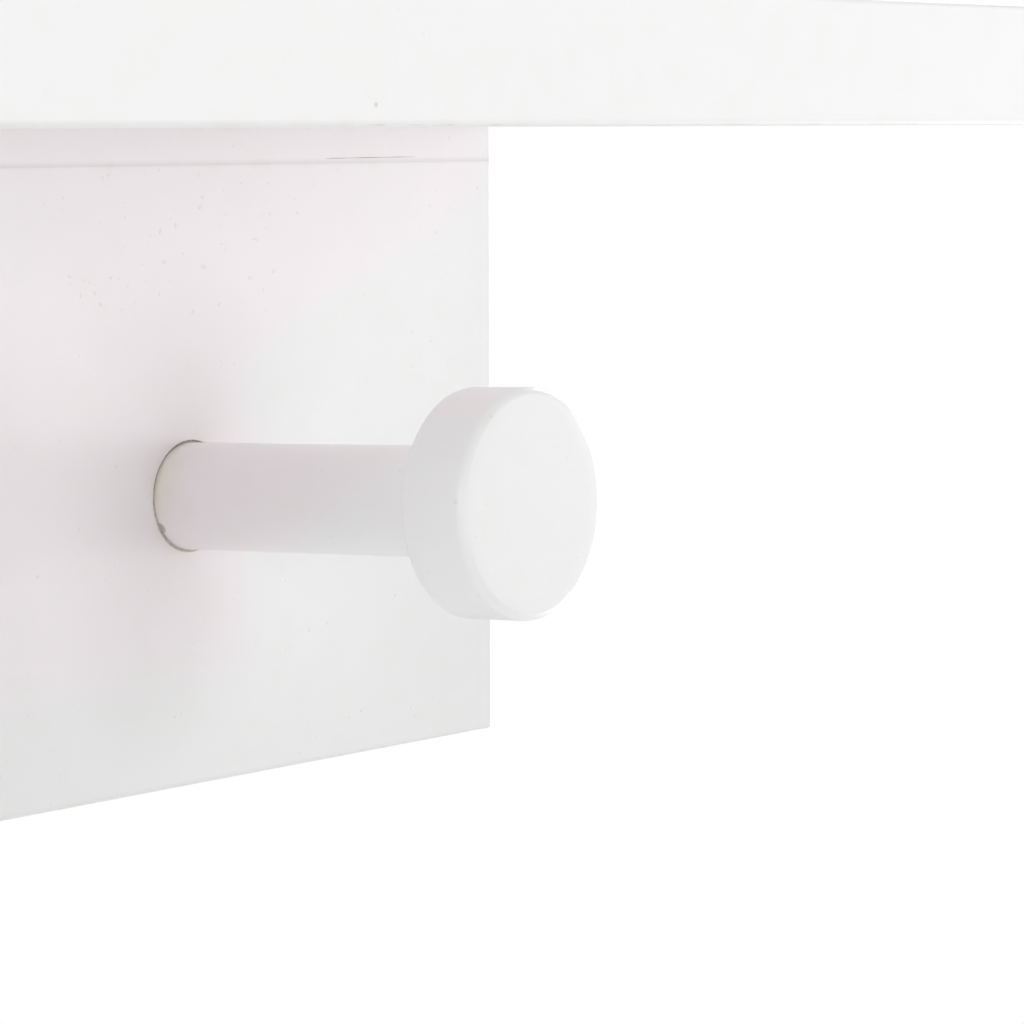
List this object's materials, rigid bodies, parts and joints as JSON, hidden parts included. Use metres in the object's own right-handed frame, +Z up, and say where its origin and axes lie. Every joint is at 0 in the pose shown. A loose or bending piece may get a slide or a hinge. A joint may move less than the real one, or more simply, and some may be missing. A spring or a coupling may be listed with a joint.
{
  "type": "wall hook rack",
  "caption": "White painted wooden wall rack: a flat shelf on a hook board with a row of round pegs with disc heads, hung on keyhole plates let into its back.",
  "frame": {"origin": "on the wall plane at the back of the hook board, midway between the two keyhole hangers and at the height of their round entry holes", "axes": "+X along the rack to the viewer's right, +Y into the wall, +Z up; the pegs point towards -Y"},
  "size_m": [0.75, 0.18, 0.143],
  "materials": {
    "board_paint": "satin white paint on board, fine orange peel, sanded arrises",
    "peg_paint": "satin white paint on turned wood, slightly thicker at the rims",
    "beech": "bare fluted dowel",
    "zinc_steel": "bright zinc plate"
  },
  "bodies": {
    "root": {"shelf_board": "board_paint", "hook_board": "board_paint", "top_lipping": "board_paint", "peg_stem_1": "peg_paint", "peg_head_1": "peg_paint", "peg_screw_1": "zinc_steel", "peg_stem_2": "peg_paint", "peg_head_2": "peg_paint", "peg_screw_2": "zinc_steel", "peg_stem_3": "peg_paint", "peg_head_3": "peg_paint", "peg_screw_3": "zinc_steel", "peg_stem_4": "peg_paint", "peg_head_4": "peg_paint", "peg_screw_4": "zinc_steel", "shelf_dowel_1": "beech", "shelf_dowel_2": "beech", "shelf_dowel_3": "beech", "shelf_dowel_4": "beech", "shelf_dowel_5": "beech", "shelf_screw_1": "zinc_steel", "shelf_screw_2": "zinc_steel", "shelf_screw_3": "zinc_steel", "shelf_screw_4": "zinc_steel", "hanger_plate_left": "zinc_steel", "hanger_screws_left": "zinc_steel", "hanger_plate_right": "zinc_steel", "hanger_screws_right": "zinc_steel"}
  },
  "joints": []
}
